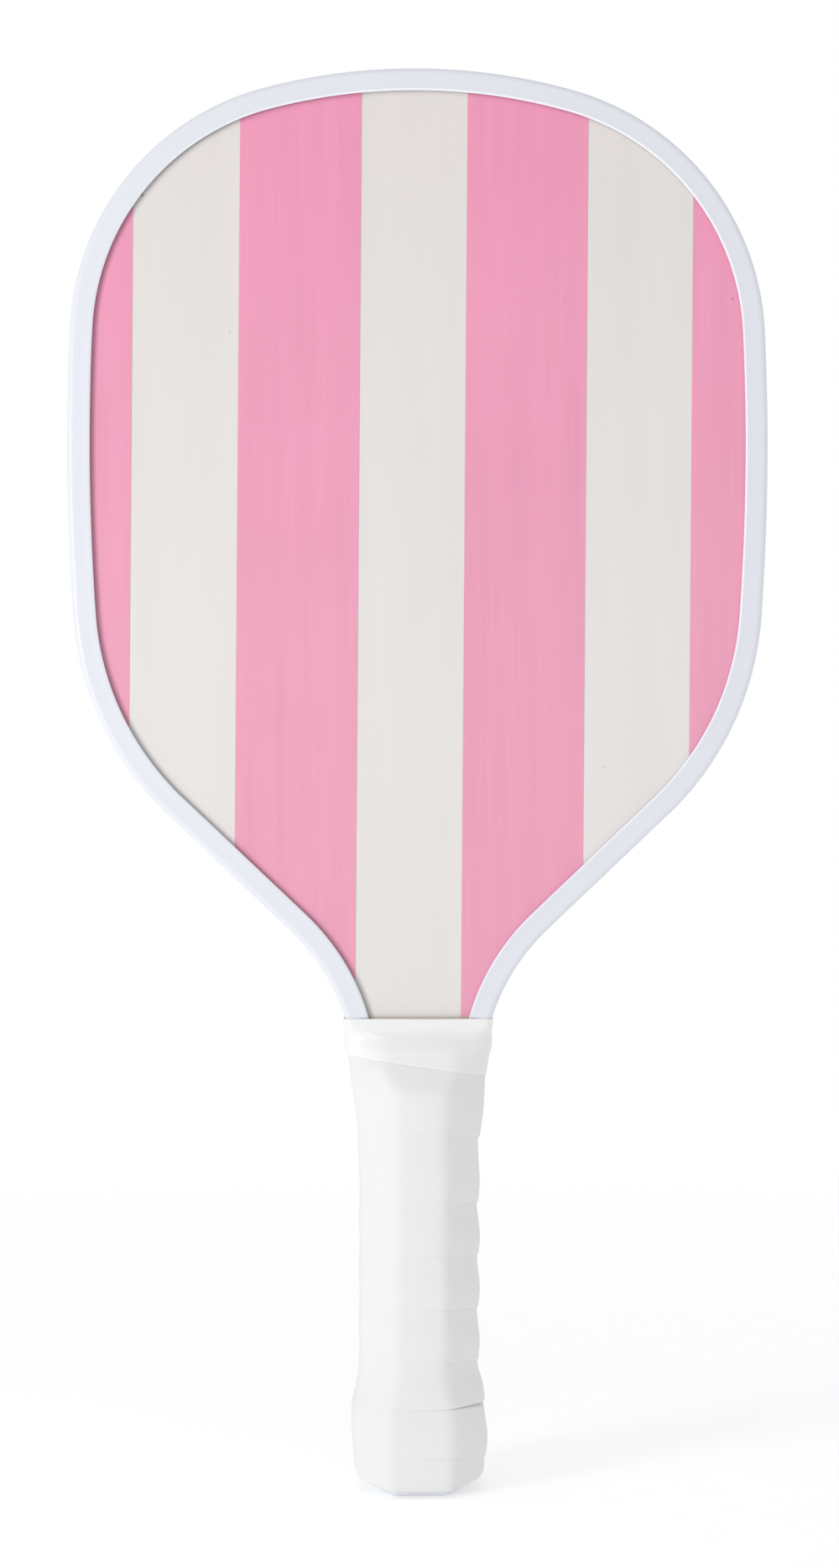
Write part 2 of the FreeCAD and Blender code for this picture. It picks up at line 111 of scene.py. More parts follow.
# Where the ramp meets the guard, the rings are blunter and rounder: heights at which that starts, is
# whole, begins to fade and is gone.
COLLAR_BLUNT_HEIGHTS = (119.0, 124.0, 128.0, 131.0)
COLLAR_BLUNTING = 1.2
COLLAR_ROUND_HEIGHTS = (117.0, 126.0, 128.0, 132.5)
COLLAR_ROUNDING = 4.0

STRAP_THICKNESS = 1.6
STRAP_OUTSIDE = 1.62  # offset of the strap's outside from its seat, away from its edges
STRAP_STEP = 0.95  # how much further out a turn's edge lies for the turn beneath it
STRAP_BOTTOM = 1.7
STRAP_TOP = 131.5
STRAP_SIDE_RISE = 1.5  # how much higher the strap's lowest edge is at the sides
STRAP_GAP = 0.04
SKIVE_START = 124.0  # the strap thins from here to its top
SKIVE_SHARE = 0.82
PRESSED_START = 116.0  # the tape presses the strap's proud edges flat between these heights
PRESSED_END = 121.0
SEAM_HEIGHTS = (-4.0, 11.2, 24.5, 37.6, 52.5, 67.4, 82.3, 101.7, 121.1, 140.0)
SEAM_WANDER = 0.35

# Seams run higher at the right-hand side, and one of them more so: its turn and its spread in turns.
SEAM_SWELL = 1.6
EXTRA_SWELL = 1.6
EXTRA_SWELL_TURN = 1.75
EXTRA_SWELL_SPREAD = 0.4

TAPE_LAP = 0.19
TAPE_GAP = 0.03
TAPE_TOP = 133.0
TAPE_EDGE_HEIGHT = 119.8
TAPE_EDGE_SLOPE = 0.14
SECOND_LAP_HEIGHT = 122.8


# ---------------------------------------------------------------- small helpers

def clamp(value, low=0.0, high=1.0):
    return min(max(value, low), high)


def ease(value, start, end):
    """0 before start, 1 after end, with a smooth S between them."""
    share = clamp((value - start) / (end - start))
    return share * share * (3 - 2 * share)


def hump(value, start, full, fading, end):
    """0 before start, 1 from full to fading, and 0 again after end."""
    return ease(value, start, full) * (1 - ease(value, fading, end))


def mix(low, high, share):
    return low + (high - low) * share


def wobble(scale, *place):
    """Smooth repeatable noise between about -1 and 1."""
    return noise.noise(Vector(place) * scale)


def loft(loops):
    """Vertices and faces of a closed skin over a list of equal closed loops, with a face at each end."""
    rows, columns = len(loops), len(loops[0])
    vertices = [point for loop in loops for point in loop]
    faces = []
    for start in range(0, (rows - 1) * columns, columns):
        above = start + columns
        for column in range(columns):
            beside = (column + 1) % columns
            faces.append((start + column, start + beside, above + beside, above + column))
    faces.append(tuple(range(columns)))
    faces.append(tuple((rows - 1) * columns + column for column in range(columns)))
    return vertices, faces


WELD_DISTANCE = 0.0002


def mesh_piece(name, vertices, faces, material, nodes, sharp=50):
    """A mesh on the root body for the CAD nodes named, smooth up to the angle sharp in degrees."""
    mesh = bpy.data.meshes.new(name)
    mesh.from_pydata([Vector(vertex) * MM for vertex in vertices], [], faces)
    builder = bmesh.new()
    builder.from_mesh(mesh)
    bmesh.ops.remove_doubles(builder, verts=builder.verts, dist=WELD_DISTANCE * MM)
    bmesh.ops.recalc_face_normals(builder, faces=builder.faces)
    builder.to_mesh(mesh)
    builder.free()
    mesh.shade_smooth()
    mesh.set_sharp_from_angle(angle=math.radians(sharp))
    mesh.materials.append(material)
    piece = bpy.data.objects.new(name, mesh)
    bpy.context.scene.collection.objects.link(piece)
    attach(piece, "root")
    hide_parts(*nodes)
    return piece


# ---------------------------------------------------------------- shader building

class Shader:
    """A node material being built up; values given to inputs may be numbers or other sockets."""

    def __init__(self, name):
        self.material = bpy.data.materials.new(name)
        self.material.use_nodes = True
        self.tree = self.material.node_tree
        self.surface = self.tree.nodes["Principled BSDF"]
        self.place = self.node("ShaderNodeTexCoord").outputs["Object"]

    def put(self, socket, value):
        if isinstance(value, bpy.types.NodeSocket):
            self.tree.links.new(value, socket)
        else:
            socket.default_value = value

    def node(self, kind, inputs=None, **settings):
        made = self.tree.nodes.new(kind)
        for name, value in settings.items():
            setattr(made, name, value)
        for name, value in (inputs or {}).items():
            self.put(made.inputs[name], value)
        return made

    def math(self, operation, *values):
        made = self.node("ShaderNodeMath", operation=operation)
        for index, value in enumerate(values):
            self.put(made.inputs[index], value)
        return made.outputs[0]

    def weighted(self, first, first_weight, second, second_weight):
        """The sum of two values, each multiplied by its weight."""
        first = self.math("MULTIPLY", first, first_weight)
        return self.math("MULTIPLY_ADD", second, second_weight, first)

    def scaled(self, x=1.0, y=1.0, z=1.0):
        """Object coordinates in metres, multiplied along each axis."""
        return self.node("ShaderNodeMapping", {"Vector": self.place, "Scale": (x, y, z)}).outputs[0]

    def noise(self, vector, scale, detail=2.0, roughness=0.5):
        inputs = {"Vector": vector, "Scale": scale, "Detail": detail, "Roughness": roughness}
        return self.node("ShaderNodeTexNoise", inputs).outputs["Fac"]

    def ramp(self, value, low, high, start=0.0, end=1.0):
        """Maps low..high onto start..end, clamped."""
        inputs = {"Value": value, "From Min": low, "From Max": high, "To Min": start, "To Max": end}
        return self.node("ShaderNodeMapRange", inputs).outputs[0]

    def blend(self, share, first, second):
        made = self.node("ShaderNodeMix", data_type="RGBA")
        for index, value in ((0, share), (6, first), (7, second)):
            self.put(made.inputs[index], value)
        return made.outputs[2]

    def bump(self, height, strength, distance):
        inputs = {"Height": height, "Strength": strength, "Distance": distance * MM}
        return self.node("ShaderNodeBump", inputs).outputs[0]

    def finish(self, **inputs):
        """Sets the surface's inputs; underscores in a name stand for spaces."""
        for name, value in inputs.items():
            self.put(self.surface.inputs[name.replace("_", " ")], value)
        return self.material


def shade(colour, factor):
    return tuple(channel * factor for channel in colour) + (1.0,)


# ---------------------------------------------------------------- materials

# A tint multiplies its colour: the inks' tints are painted shade, whole at the crown, and the strap's is
# painted shade, whole in its crevices.
PINK = (0.820, 0.350, 0.488)
PINK_CROWN_TINT = (1.0, 0.885, 0.955)
CREAM = (0.760, 0.735, 0.717)
CREAM_CROWN_TINT = (0.970, 0.950, 0.942)
CROWN_TINT_START = 240.0
CROWN_TINT_WHOLE = 380.0
GUARD_WHITE = (0.742, 0.765, 0.820)
STRAP_WHITE = (0.798, 0.798, 0.798)
STRAP_SOIL_TINT = (0.90, 0.885, 0.85)
STRAP_SOIL_REACH = 1.2
TAPE_WHITE = (0.852, 0.855, 0.857)
CAP_WHITE = (0.860, 0.885, 0.930)
GLUE_AMBER = (0.62, 0.54, 0.38, 1.0)
FACE_VENEER = (0.62, 0.42, 0.24)
CROSS_VENEER = (0.50, 0.33, 0.18)
SOFTWOOD = (0.66, 0.49, 0.30)

# Small marks on the print: (x, height, radius, how much of the print's colour is left).
FACE_MARKS = (
    (-78.1, 365.6, 0.5, 0.35),
    (-53.4, 327.0, 0.4, 0.75),
    (52.4, 204.2, 0.4, 0.70),
    (89.1, 337.1, 0.5, 0.60),
    (47.9, 388.6, 0.8, 1.25),
    (-20.1, 279.0, 0.4, 0.88),
)


def marked(shader, base):
    """The print's colour with specks, a thin amber line just above the tape and painted shade under the
    guard's lip.
    """
    for x, height, radius, left in FACE_MARKS:
        spot = Vector((x, -CHANNEL_HALF, height)) * MM
        inputs = {0: shader.place, 1: spot}
        away = shader.node("ShaderNodeVectorMath", inputs, operation="DISTANCE").outputs["Value"]
        inside = shader.ramp(away, radius * MM, radius * 0.4 * MM)
        tinted = shader.node("ShaderNodeVectorMath", {0: base, 1: (left,) * 3}, operation="MULTIPLY")
        base = shader.blend(inside, base, tinted.outputs[0])
    height = shader.node("ShaderNodeSeparateXYZ", {0: shader.place}).outputs["Z"]
    # a thin amber line, half mixed in, darkens the print just above the tape
    line = shader.ramp(height, (TAPE_TOP + 0.9) * MM, (TAPE_TOP + 0.3) * MM)
    base = shader.blend(shader.math("MULTIPLY", line, 0.5), base, GLUE_AMBER)
    left = corner_shade(shader)
    channels = {name: left for name in ("Red", "Green", "Blue")}
    factor = shader.node("ShaderNodeCombineColor", channels)
    shaded = shader.node("ShaderNodeVectorMath", {0: base, 1: factor.outputs[0]}, operation="MULTIPLY")
    return shaded.outputs[0]


CORNER_LEAN = (-1.1, 0.0, 0.0)  # added to the normal, so that only what stands at the left shades
CORNER_REACH = 2.2


def corner_shade(shader):
    """Share of the colour left: less in the corner under the guard's left lip, where shade gathers."""
    inputs = {0: shader.node("ShaderNodeNewGeometry").outputs["Normal"], 1: CORNER_LEAN}
    leaning = shader.node("ShaderNodeVectorMath", inputs, operation="ADD").outputs[0]
    leaning = shader.node("ShaderNodeVectorMath", {0: leaning}, operation="NORMALIZE").outputs[0]
    inputs = {"Distance": CORNER_REACH * MM, "Normal": leaning}
    open_share = shader.node("ShaderNodeAmbientOcclusion", inputs, samples=12).outputs["AO"]
    return shader.ramp(open_share, 0.28, 0.74, 0.50, 1.0)


def printed_wood(name, colour, crown_tint, grain_share, roughness):
    """Satin ink over veneer: faint streaks of grain show through, and painted shade darkens it towards
    the crown.
    """
    shader = Shader(name)
    fine = shader.noise(shader.scaled(z=0.02), 1100.0, 3.0, 0.6)
    broad = shader.noise(shader.scaled(z=0.06), 170.0, 2.0)
    cloud = shader.noise(shader.scaled(), 26.0, 2.0)
    streak = shader.weighted(fine, 0.45, broad, 0.55)
    spread = shader.ramp(shader.weighted(streak, 0.8, cloud, 0.2), 0.32, 0.68)
    base = shader.blend(spread, shade(colour, 1 - grain_share), shade(colour, 1 + grain_share * 0.7))
    up = shader.node("ShaderNodeSeparateXYZ", {0: shader.place}).outputs["Z"]
    # painted shade: the print's colour is darkened more and more towards the crown
    deeper = shader.node("ShaderNodeVectorMath", {0: base, 1: crown_tint}, operation="MULTIPLY")
    crown_share = shader.ramp(up, CROWN_TINT_START * MM, CROWN_TINT_WHOLE * MM)
    base = shader.blend(crown_share, base, deeper.outputs[0])
    weave = shader.noise(shader.scaled(), 5200.0, 2.0)
    height = shader.weighted(fine, 1.0, weave, 0.25)
    return shader.finish(
        Base_Color=marked(shader, base),
        Roughness=shader.ramp(cloud, 0.3, 0.7, roughness - 0.05, roughness + 0.06),
        Specular_IOR_Level=0.35,
        Normal=shader.bump(height, 0.12, 0.06),
    )


def facing_inward(shader):
    """1 where a surface turns towards the blade's middle, as the guard's trimmed inner edge does: where
    a painted highlight is laid.
    """
    normal = shader.node("ShaderNodeNewGeometry").outputs["Normal"]
    inputs = {0: Vector((0, 0, BLADE_MIDDLE)) * MM, 1: shader.place}
    towards = shader.node("ShaderNodeVectorMath", inputs, operation="SUBTRACT").outputs[0]
    towards = shader.node("ShaderNodeVectorMath", {0: towards}, operation="NORMALIZE").outputs[0]
    turned = shader.node("ShaderNodeVectorMath", {0: normal, 1: towards}, operation="DOT_PRODUCT")
    return shader.ramp(turned.outputs["Value"], 0.15, 0.55)


def moulded_plastic(name, colour, roughness, edge_gain):
    """Smooth plastic, faintly mottled, whose inward-facing edges carry a painted highlight, brighter by
    the gain.
    """
    shader = Shader(name)
    cloud = shader.noise(shader.scaled(), 40.0, 3.0)
    skin = shader.noise(shader.scaled(), 2600.0, 2.0)
    scuff = shader.noise(shader.scaled(), 260.0, 5.0, 0.7)
    scuffed = shader.ramp(scuff, 0.60, 0.74)
    clean = shader.blend(cloud, shade(colour, 0.985), shade(colour, 1.012))
    worn = shader.blend(shader.math("MULTIPLY", scuffed, 0.25), clean, shade(colour, 0.93))
    return shader.finish(
        # painted highlight: inward-facing edges are brighter by the gain
        Base_Color=shader.blend(facing_inward(shader), worn, shade(colour, edge_gain)),
        Roughness=shader.ramp(scuff, 0.3, 0.75, roughness - 0.06, roughness + 0.14),
        Specular_IOR_Level=0.45,
        Normal=shader.bump(skin, 0.10, 0.05),
    )


def strap_leather():
    """White synthetic leather: pebbled grain, with warm-tinted painted shade in its closed-in crevices.
    """
    shader = Shader("strap_leather_look")
    pebble_inputs = {"Vector": shader.scaled(), "Scale": 1700.0}
    pebble = shader.node("ShaderNodeTexVoronoi", pebble_inputs, feature="SMOOTH_F1").outputs["Distance"]
    crease = shader.noise(shader.scaled(x=0.35, y=0.35), 420.0, 4.0, 0.6)
    soft = shader.noise(shader.scaled(), 60.0, 3.0)
    # painted shade: ambient occlusion darkens and warms the colour in the crevices at the seams
    inputs = {"Distance": STRAP_SOIL_REACH * MM}
    open_share = shader.node("ShaderNodeAmbientOcclusion", inputs, samples=8).outputs["AO"]
    soil = shader.ramp(open_share, 0.35, 0.95, 1.0, 0.0)
    clean = shader.blend(soft, shade(STRAP_WHITE, 0.985), shade(STRAP_WHITE, 1.01))
    soiled = tuple(white * left for white, left in zip(STRAP_WHITE, STRAP_SOIL_TINT)) + (1.0,)
    height = shader.weighted(pebble, -0.6, crease, 0.8)
    return shader.finish(
        Base_Color=shader.blend(shader.math("MULTIPLY", soil, 0.45), clean, soiled),
        Roughness=shader.ramp(soft, 0.3, 0.7, 0.58, 0.70),
        Specular_IOR_Level=0.3,
        Normal=shader.bump(height, 0.16, 0.12),
    )


def vinyl_tape():
    """Thin white vinyl tape: satin, with faint drag lines along its length."""
    shader = Shader("vinyl_tape_look")
    drag = shader.noise(shader.scaled(x=0.06, y=0.06), 900.0, 3.0, 0.6)
    soft = shader.noise(shader.scaled(), 90.0, 3.0)
    return shader.finish(
        Base_Color=shader.blend(soft, shade(TAPE_WHITE, 0.985), shade(TAPE_WHITE, 1.0)),
        Roughness=shader.ramp(drag, 0.3, 0.7, 0.42, 0.56),
        Specular_IOR_Level=0.4,
        Normal=shader.bump(drag, 0.10, 0.06),
    )


def raw_wood(name, colour, along_x):
    """Bare veneer with rings and pores running up the paddle, or across it."""
    shader = Shader(name)
    stretch = (0.03, 1.0, 1.0) if along_x else (1.0, 1.0, 0.03)
    grain = shader.noise(shader.scaled(*stretch), 700.0, 4.0, 0.65)
    ring = shader.noise(shader.scaled(*stretch), 120.0, 2.0)
    spread = shader.ramp(shader.weighted(grain, 0.5, ring, 0.5), 0.35, 0.65)
    return shader.finish(
        Base_Color=shader.blend(spread, shade(colour, 0.72), shade(colour, 1.15)),
        Roughness=0.7,
        Normal=shader.bump(grain, 0.25, 0.10),
    )


def adhesive():
    """Cloudy double-sided tape."""
    shader = Shader("adhesive_look")
    cloud = shader.noise(shader.scaled(), 300.0, 3.0)
    return shader.finish(
        Base_Color=shader.blend(cloud, (0.80, 0.80, 0.74, 1.0), (0.88, 0.88, 0.84, 1.0)),
        Roughness=0.5,
        Normal=shader.bump(cloud, 0.1, 0.05),
    )


def drawn_steel():
    """Plain wire with drawing marks."""
    shader = Shader("drawn_steel_look")
    drawn = shader.noise(shader.scaled(x=0.1), 3000.0, 2.0)
    return shader.finish(
        Base_Color=(0.60, 0.60, 0.62, 1.0),
        Metallic=1.0,
        Roughness=shader.ramp(drawn, 0.3, 0.7, 0.28, 0.42),
        Normal=shader.bump(drawn, 0.1, 0.03),
    )


# ---------------------------------------------------------------- the guard's outline

def arc_stations(start, heading, radius, turn):
    """Evenly spaced (point, inward) pairs along one arc, its end point and the heading there."""
    signed = math.copysign(radius, turn)
    turn = math.radians(turn)
    centre = start + inward(heading) * signed
    count = max(2, math.ceil(radius * abs(turn) / OUTLINE_STEP))
    headings = [heading + turn * step / count for step in range(count + 1)]
    stations = [(centre - inward(angle) * signed, inward(angle)) for angle in headings]
    return stations, stations[-1][0], headings[-1]


def inward(heading):
    return Vector((-math.sin(heading), 0, -math.cos(heading)))


def right_outline():
    """(point, inward) pairs from the crown to the handle; the straight run is as long as it must be."""
    upper, lower = [], []
    at, heading = Vector((0, 0, GUARD_HIGH.z)), 0.0
    for arc in (CROWN_ARC, SHOULDER_ARC, SIDE_ARC, HIP_ARC):
        stations, at, heading = arc_stations(at, heading, *arc)
        upper += stations[:-1]
    hip_end, straight_heading = at, heading
    for arc in (THROAT_ARC, NECK_ARC):
        stations, at, heading = arc_stations(at, heading, *arc)
        lower += stations if arc is NECK_ARC else stations[:-1]
    run = (HANDLE_HALF - at.x) / math.cos(straight_heading)
    ahead = Vector((math.cos(straight_heading), 0, -math.sin(straight_heading)))
    across = inward(straight_heading)
    count = math.ceil(run / OUTLINE_STEP)
    straight = [(hip_end + ahead * (run * step / count), across) for step in range(count)]
    return upper + straight + [(point + ahead * run, into) for point, into in lower]


OUTLINE = right_outline()


def outline_half_width(height):
    """The guard's half width at a height in the throat or neck, and the handle's below it."""
    for (point, _), (after, _) in zip(reversed(OUTLINE), reversed(OUTLINE[:-1])):
        if point.z > height:
            return point.x
        if after.z >= height:
            return mix(point.x, after.x, (height - point.z) / (after.z - point.z))
    return GUARD_HIGH.x


# ---------------------------------------------------------------- edge guard

def corner_arc(inset, y, radius, start, end, steps):
    """Points (inset, y) round a centre, angles in degrees from the direction into the paddle."""
    angles = [math.radians(mix(start, end, step / steps)) for step in range(steps + 1)]
    return [(inset + radius * math.cos(angle), y + radius * math.sin(angle)) for angle in angles]


def guard_profile():
    """The channel's section as (inset, y), with a fine parting line down the middle of its wall."""
    outer, lip = GUARD_OUTER_RADIUS, GUARD_LIP_RADIUS
    outer_y, lip_y = GUARD_HALF - outer, GUARD_HALF - lip
    half = corner_arc(outer, -outer_y, outer, 180, 270, 9)
    half += [(mix(outer, GUARD_WIDTH, share), -GUARD_HALF - GUARD_LIP_RISE * share ** 2)
             for share in (0.25, 0.5, 0.75)]
    half += corner_arc(GUARD_WIDTH - lip, -lip_y - GUARD_LIP_RISE, lip, 270, 360, 6)
    half += [(GUARD_WIDTH - GUARD_UNDERCUT, -CHANNEL_HALF)]
    half += [(mix(GUARD_WALL, GUARD_WIDTH, 0.5), -CHANNEL_HALF)]
    half += [(GUARD_WALL, -CHANNEL_HALF)]
    mirrored = [(inset, -y) for inset, y in reversed(half)]
    parting = [(0.0, 0.35), (-0.03, 0.12), (-0.03, -0.12), (0.0, -0.35)]
    return half + mirrored + parting


def edge_guard(material):
    """The moulded channel, swept from its left end over the crown to its right end."""
    right = [(point, into) for point, into in OUTLINE if point.z > GUARD_END]
    left = [(Vector((-point.x, 0, point.z)), Vector((-into.x, 0, into.z)))
            for point, into in right[:0:-1]]
    profile = guard_profile()
    loops = []
    for point, into in left + right:
        soft = 0.04 * wobble(0.05, point.x, 7, point.z)
        hidden = 1 - ease(point.z, GUARD_THINNED_UP_TO, TAPE_TOP - 0.8)
        depth = 1 - GUARD_THINNING * hidden
        loops.append([point + into * (inset + soft) + Vector((0, y * depth, 0)) for inset, y in profile])
    vertices, faces = loft(loops)
    return mesh_piece("edge_guard_moulding", vertices, faces, material, ["edge_guard"])


# ---------------------------------------------------------------- octagonal rings

ARC_STEPS = 6  # steps round a ring's corner
EDGE_STEPS = 4  # steps along a ring's side, an even number so that one falls at its middle
CROWNING = 0.2  # how much the strap's seat bulges in the middle of a side


def ring(half_width, half_depth, flat_x, flat_y, radius, height, crowning=0.0, cut=0.0):
    """A rounded octagon of points, clockwise from above, starting at the back's middle.

    A corner has the radius given, or a larger one that takes the length cut off its tip, where its
    sides are long enough for either. Sides bulge by the length crowning.
    """
    right = [(flat_x, half_depth), (half_width, flat_y), (half_width, -flat_y), (flat_x, -half_depth)]
    turns = [Vector(place) for place in right + [(-x, -y) for x, y in right]]
    sides = [turn - turns[index - 1] for index, turn in enumerate(turns)]
    normals = [Vector((-side.y, side.x)).normalized() for side in sides]
    arcs = []
    for index, turn in enumerate(turns):
        before, after = normals[index], normals[(index + 1) % len(turns)]
        swing = before.angle_signed(after)
        room = min(sides[index].length, sides[(index + 1) % len(turns)].length) * 0.45
        wide = max(radius, cut / (1 / math.cos(swing / 2) - 1))
        curve = min(wide, room / math.tan(abs(swing) / 2))
        centre = turn - (before + after) * (curve / (1 + before.dot(after)))
        start = math.atan2(before.y, before.x)
        angles = [start - swing * step / ARC_STEPS for step in range(ARC_STEPS + 1)]
        arcs.append([centre + Vector((math.cos(a), math.sin(a))) * curve for a in angles])
    points = []
    for index, arc in enumerate(arcs):
        start, end = arcs[index - 1][-1], arc[0]
        for step in range(1, EDGE_STEPS):
            share = step / EDGE_STEPS
            bulge = crowning * math.sin(math.pi * share)
            points.append(start.lerp(end, share) + normals[index] * bulge)
        points += arc
    middle = EDGE_STEPS // 2 - 1
    points = points[middle:] + points[:middle]
    return [Vector((x, y, height)) for x, y in points]


def ramp_dip(height):
    """How far the front of the handle has fallen back at a height, starting in a soft bend."""
    rise = height - RAMP_START
    if rise < -RAMP_BEND:
        return 0.0
    if rise < RAMP_BEND:
        return RAMP_SLOPE * (rise + RAMP_BEND) ** 2 / (4 * RAMP_BEND)
    return RAMP_SLOPE * rise


def foot_tuck(height):
    """How far the foot's sides are drawn in, more and more towards the floor."""
    return FOOT_TUCK * clamp(1 - height / FOOT_HEIGHT) ** 1.5


def seat(height):
    """What the strap lies on: half width, half depth, and half widths of the front and side flats."""
    swell = (CAP_HALF - HANDLE_HALF) * (1 - ease(height, FLARE_START, FLARE_END))
    half_width = max(HANDLE_HALF + swell, outline_half_width(height))
    half_depth = max(HANDLE_HALF + swell - ramp_dip(height), GUARD_HALF)
    flat = HANDLE_RIDGE + swell
    flat_x = min(flat + ramp_dip(height), SCALE_NECK_HALF)
    flat_x = mix(flat_x, half_width - GUARD_CORNER, ease(height, NECK_START, NECK_END))
    flat_y = mix(flat, GUARD_HALF - GUARD_CORNER, ease(height, RAMP_START, GUARD_END))
    flat_y -= COLLAR_BLUNTING * hump(height, *COLLAR_BLUNT_HEIGHTS)
    return half_width - foot_tuck(height), half_depth, flat_x, flat_y


def grip_ring(height, offset):
    """The ring at a height, outside the strap's seat by an offset."""
    half_width, half_depth, flat_x, flat_y = seat(height)
    spread = offset * (1 - BLUNTING)
    radius = GRIP_RADIUS + offset + COLLAR_ROUNDING * hump(height, *COLLAR_ROUND_HEIGHTS)
    cut = mix(0.30 + 0.10 * offset, 0.12, ease(height, SKIVE_START, NECK_END))
    return ring(half_width + offset, half_depth + offset, flat_x + spread, flat_y + spread,
                radius, height, CROWNING, cut)


def ring_shares():
    """How far round the handle each ring point lies, as a share of the way round."""
    points = grip_ring(GRIP_MIDDLE, STRAP_THICKNESS)
    lengths = [(end - start).length for start, end in zip(points, points[1:] + points[:1])]
    return [sum(lengths[:index]) / sum(lengths) for index in range(len(points))]


SHARES = ring_shares()


# ---------------------------------------------------------------- wound strap

# The strap's section in points of (share of the way up to the next turn's edge, offset outside the
# seat): its rounded lower edge, then the hidden part under the next turn and back down the inside.
EDGE_SECTION = (
    (0.000, 1.05), (0.000, 1.42), (0.003, 1.62), (0.010, 1.77), (0.024, 1.89), (0.046, 1.97),
    (0.076, 2.02),
)
TUCKED_SECTION = (
    (1.020, 1.57), (1.040, 1.40), (1.055, 1.00), (1.180, 0.88), (1.300, 0.80), (1.340, 0.55),
    (1.340, 0.10), (1.320, 0.04), (1.150, 0.04), (0.900, 0.04), (0.650, 0.04), (0.450, 0.06),
    (0.380, 0.30), (0.300, 0.80), (0.180, 0.96), (0.060, 1.00),
)
TUCKED_SHARE = 0.34  # how far the hidden part reaches up under the next turn
EDGE_SHARE = 0.12  # how far the rounded edge reaches up the strap
OPEN_STEPS = 18
OVERLAP_RISE = 5.0  # height over which the first turn comes to lie over the strap's start
STRAP_TIP_WIDTH = 0.6  # the strap's pointed start and end are cut off at these widths
STRAP_END_WIDTH = 1.0


def proud_section():
    """The whole section where it lies over a turn below, easing down to the strap's own thickness."""
    rows = []
    for step in range(OPEN_STEPS + 1):
        share = mix(EDGE_SHARE, 1.0, step / OPEN_STEPS)
        lying_over = 0.64 * (1 - ease(share, 0.36, 1.0))
        pressed_edge = 0.30 * (1 - ease(share, -0.06, 0.36))
        rows.append((share, 1.61 + lying_over - pressed_edge))
    return list(EDGE_SECTION) + rows + list(TUCKED_SECTION)


PROUD_SECTION = proud_section()


def flat_offset(share, offset):
    """The same section where there is no turn beneath it."""
    if share > 1.01:
        return offset
    if offset > 1.02:
        return mix(offset - STRAP_STEP, STRAP_OUTSIDE, ease(share, 0.0, EDGE_SHARE / 2))
    return STRAP_GAP


def seam_height(turn):
    """Height of the strap's edge after a number of turns; whole numbers are the front's middle.

    A smooth curve through SEAM_HEIGHTS that goes on straight past both ends, down to turn -1.
    """
    turn = max(turn, -1.0)
    low = int(clamp(math.floor(turn), 0, len(SEAM_HEIGHTS) - 2))
    before, start, end, after = [SEAM_HEIGHTS[int(clamp(low + step, 0, len(SEAM_HEIGHTS) - 1))]
                                 for step in (-1, 0, 1, 2)]
    if low == 0:
        before = 2 * start - end
    if low == len(SEAM_HEIGHTS) - 2:
        after = 2 * end - start
    share = turn - low
    if not 0 <= share <= 1:
        return start + (end - start) * share
    slope_start, slope_end = (end - before) / 2, (after - start) / 2
    square, cube = share ** 2, share ** 3
    smooth = (2 * cube - 3 * square + 1) * start + (cube - 2 * square + share) * slope_start
    return smooth + (3 * square - 2 * cube) * end + (cube - square) * slope_end


def strap_edge(turn):
    """The seam's height with the small unevenness of winding by hand."""
    return seam_height(turn) + SEAM_WANDER * wobble(2.3, turn, 3.1, 0.5)


def strap_taper(height):
    """Share of the strap's thickness left at a height, as it is skived thin under the tape."""
    return 1 - SKIVE_SHARE * ease(height, SKIVE_START, STRAP_TOP)


def strap_section(turn, index):
    """The strap's section as a closed loop of points, at one place along its winding."""
    rightness = math.sin(2 * math.pi * SHARES[index])
    extra = EXTRA_SWELL * math.exp(-((turn - EXTRA_SWELL_TURN) / EXTRA_SWELL_SPREAD) ** 2)
    swell = (SEAM_SWELL + extra) * max(rightness, 0.0)
    bottom = STRAP_BOTTOM + STRAP_SIDE_RISE * ease(abs(rightness), 0.35, 1.0)
    low = max(strap_edge(turn) + swell, bottom)
    over = ease(strap_edge(turn) + swell, bottom, bottom + OVERLAP_RISE)
    upper = strap_edge(turn + 1) + swell
    end = min(upper + TUCKED_SHARE * (strap_edge(turn + 2) + swell - upper), STRAP_TOP)
    upper = min(upper, end - 0.2)
    looseness = mix(0.75, 1.15, 0.5 + 0.5 * wobble(1.7, turn, 9.2, 4.4)) * (0.95 + 0.45 * rightness)
    points = []
    for share, proud in PROUD_SECTION:
        if share <= 1:
            height = mix(low, upper, share)
        else:
            height = mix(upper, end, (share - 1) / TUCKED_SHARE)
        offset = mix(flat_offset(share, proud), proud, over)
        unpressed = 1 - ease(height, PRESSED_START, PRESSED_END)
        lift = max(offset - STRAP_THICKNESS, 0.0) * looseness * unpressed
        offset = (min(offset, STRAP_THICKNESS) + lift) * strap_taper(height)
        if offset > 1.0:
            offset += 0.10 * wobble(0.13, index * 1.3, turn * 31, height)
            drawn_in = (0.75 - 0.45 * rightness) * (1 - ease(height, -1.0, 13.0))
            offset -= drawn_in * min(share * 8, 1.0)
        points.append(grip_ring(height, offset)[index])
    return points


def wound_strap(material):
    """The whole strap, from its cut tip at the butt to its skived end under the tape."""
    loops = []
    for winding in range(-1, len(SEAM_HEIGHTS) - 1):
        for index, share in enumerate(SHARES):
            turn = winding + share - 0.5
            started = strap_edge(turn + 1) > STRAP_BOTTOM + STRAP_TIP_WIDTH
            if started and strap_edge(turn) < STRAP_TOP - STRAP_END_WIDTH:
                loops.append(strap_section(turn, index))
    vertices, faces = loft(loops)
    return mesh_piece("grip_strap", vertices, faces, material, ["grip_wrap"], 60)


# ---------------------------------------------------------------- finishing tape

TAPE_ROWS = 16
TAPE_START = 0.06  # where round the grip the tape starts and ends, as a share of a turn
TAPE_TURNS = 2.09


